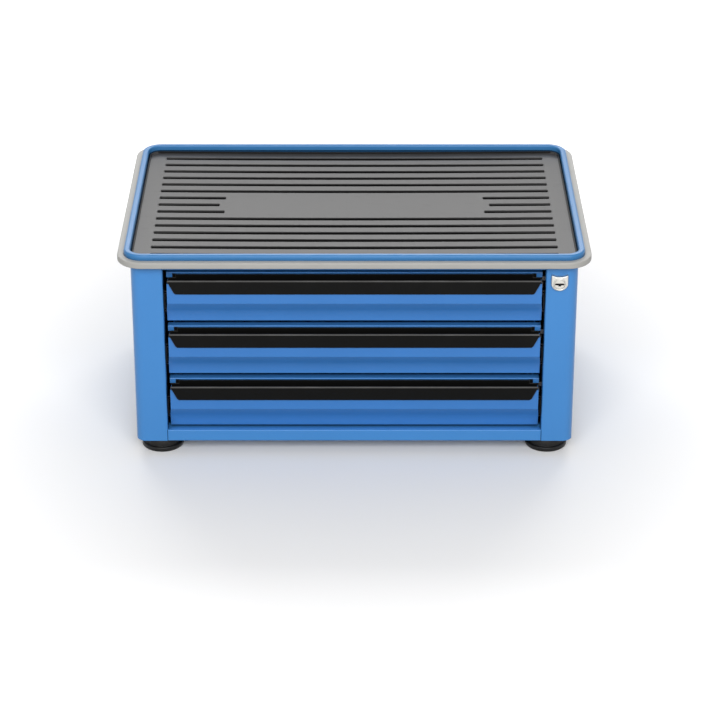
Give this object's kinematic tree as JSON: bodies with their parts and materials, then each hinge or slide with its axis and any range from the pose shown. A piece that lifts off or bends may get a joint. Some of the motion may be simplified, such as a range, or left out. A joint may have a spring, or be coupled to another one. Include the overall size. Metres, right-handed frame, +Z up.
{
  "type": "tool chest",
  "caption": "Wide low tool chest: rimmed tray top with grooved mat and soft edge band, drawers on telescopic slides with full-width grips, a key lock that drops a locking bar, round feet.",
  "frame": {"origin": "on the floor under the middle of the bounding box", "axes": "+Z up, the drawers open towards -Y, +X to the right seen from the front"},
  "size_m": [0.724, 0.47, 0.349],
  "materials": {
    "carcass_paint": "gloss",
    "tray_paint": "gloss",
    "drawer_paint": "gloss",
    "front_paint": "gloss",
    "zinc_steel": "satin",
    "slide_steel": "satin",
    "bolt_steel": "satin",
    "plug_steel": "polished",
    "lock_chrome": "polished",
    "foot_rubber": "matte",
    "mat_rubber": "satin",
    "band_rubber": "satin",
    "grip_plastic": "satin"
  },
  "bodies": {
    "chest": {"side_panel_left": "carcass_paint", "side_panel_right": "carcass_paint", "back_panel": "carcass_paint", "floor_pan": "carcass_paint", "bottom_rail": "carcass_paint", "top_rail": "carcass_paint", "slide_upright_front_left": "zinc_steel", "slide_upright_rear_left": "zinc_steel", "slide_upright_front_right": "zinc_steel", "slide_upright_rear_right": "zinc_steel", "foot_front_left": "foot_rubber", "foot_front_right": "foot_rubber", "foot_rear_left": "foot_rubber", "foot_rear_right": "foot_rubber", "top_tray": "tray_paint", "top_mat": "mat_rubber", "edge_band": "band_rubber", "slide_outer_1_left": "slide_steel", "slide_outer_1_right": "slide_steel", "slide_outer_2_left": "slide_steel", "slide_outer_2_right": "slide_steel", "slide_outer_3_left": "slide_steel", "slide_outer_3_right": "slide_steel", "lock_barrel": "lock_chrome", "lock_nut": "zinc_steel", "lock_bar_guides": "zinc_steel", "foot_bolts": "bolt_steel", "tray_screws": "bolt_steel", "back_rivets": "bolt_steel"},
    "drawer_1": {"drawer_box_1": "drawer_paint", "drawer_front_1": "front_paint", "drawer_front_inner_1": "drawer_paint", "drawer_handle_1": "grip_plastic", "drawer_catch_1": "zinc_steel", "slide_inner_1_left": "slide_steel", "slide_inner_1_right": "slide_steel"},
    "middle_1_left": {"slide_middle_1_left": "slide_steel"},
    "middle_1_right": {"slide_middle_1_right": "slide_steel"},
    "drawer_2": {"drawer_box_2": "drawer_paint", "drawer_front_2": "front_paint", "drawer_front_inner_2": "drawer_paint", "drawer_handle_2": "grip_plastic", "drawer_catch_2": "zinc_steel", "slide_inner_2_left": "slide_steel", "slide_inner_2_right": "slide_steel"},
    "middle_2_left": {"slide_middle_2_left": "slide_steel"},
    "middle_2_right": {"slide_middle_2_right": "slide_steel"},
    "drawer_3": {"drawer_box_3": "drawer_paint", "drawer_front_3": "front_paint", "drawer_front_inner_3": "drawer_paint", "drawer_handle_3": "grip_plastic", "drawer_catch_3": "zinc_steel", "slide_inner_3_left": "slide_steel", "slide_inner_3_right": "slide_steel"},
    "middle_3_left": {"slide_middle_3_left": "slide_steel"},
    "middle_3_right": {"slide_middle_3_right": "slide_steel"},
    "lock_cylinder": {"lock_plug": "plug_steel", "lock_cam": "zinc_steel", "cam_screw": "bolt_steel"},
    "locking_bar": {"lock_bar": "zinc_steel"}
  },
  "joints": [
    {"name": "drawer_1_slide", "type": "slide", "parent": "chest", "child": "drawer_1", "axis": [0, -1, 0], "range_m": [0, 0.38]},
    {"name": "middle_1_left_slide", "type": "slide", "parent": "chest", "child": "middle_1_left", "axis": [0, -1, 0], "range_m": [0, 0.19]},
    {"name": "middle_1_right_slide", "type": "slide", "parent": "chest", "child": "middle_1_right", "axis": [0, -1, 0], "range_m": [0, 0.19]},
    {"name": "drawer_2_slide", "type": "slide", "parent": "chest", "child": "drawer_2", "axis": [0, -1, 0], "range_m": [0, 0.38]},
    {"name": "middle_2_left_slide", "type": "slide", "parent": "chest", "child": "middle_2_left", "axis": [0, -1, 0], "range_m": [0, 0.19]},
    {"name": "middle_2_right_slide", "type": "slide", "parent": "chest", "child": "middle_2_right", "axis": [0, -1, 0], "range_m": [0, 0.19]},
    {"name": "drawer_3_slide", "type": "slide", "parent": "chest", "child": "drawer_3", "axis": [0, -1, 0], "range_m": [0, 0.38]},
    {"name": "middle_3_left_slide", "type": "slide", "parent": "chest", "child": "middle_3_left", "axis": [0, -1, 0], "range_m": [0, 0.19]},
    {"name": "middle_3_right_slide", "type": "slide", "parent": "chest", "child": "middle_3_right", "axis": [0, -1, 0], "range_m": [0, 0.19]},
    {"name": "lock_turn", "type": "hinge", "parent": "chest", "child": "lock_cylinder", "pos_m": [0.313, -0.22, 0.298], "axis": [0, -1, 0], "range_deg": [0, 90]},
    {"name": "bar_drop", "type": "slide", "parent": "chest", "child": "locking_bar", "axis": [0, 0, -1], "range_m": [0, 0.01273]}
  ],
  "couplings": [
    {"joint": "middle_1_left_slide", "follows": "drawer_1_slide", "ratio": 0.5},
    {"joint": "middle_1_right_slide", "follows": "drawer_1_slide", "ratio": 0.5},
    {"joint": "middle_2_left_slide", "follows": "drawer_2_slide", "ratio": 0.5},
    {"joint": "middle_2_right_slide", "follows": "drawer_2_slide", "ratio": 0.5},
    {"joint": "middle_3_left_slide", "follows": "drawer_3_slide", "ratio": 0.5},
    {"joint": "middle_3_right_slide", "follows": "drawer_3_slide", "ratio": 0.5},
    {"joint": "lock_turn", "follows": "bar_drop", "rad_per_m": 123.39}
  ]
}
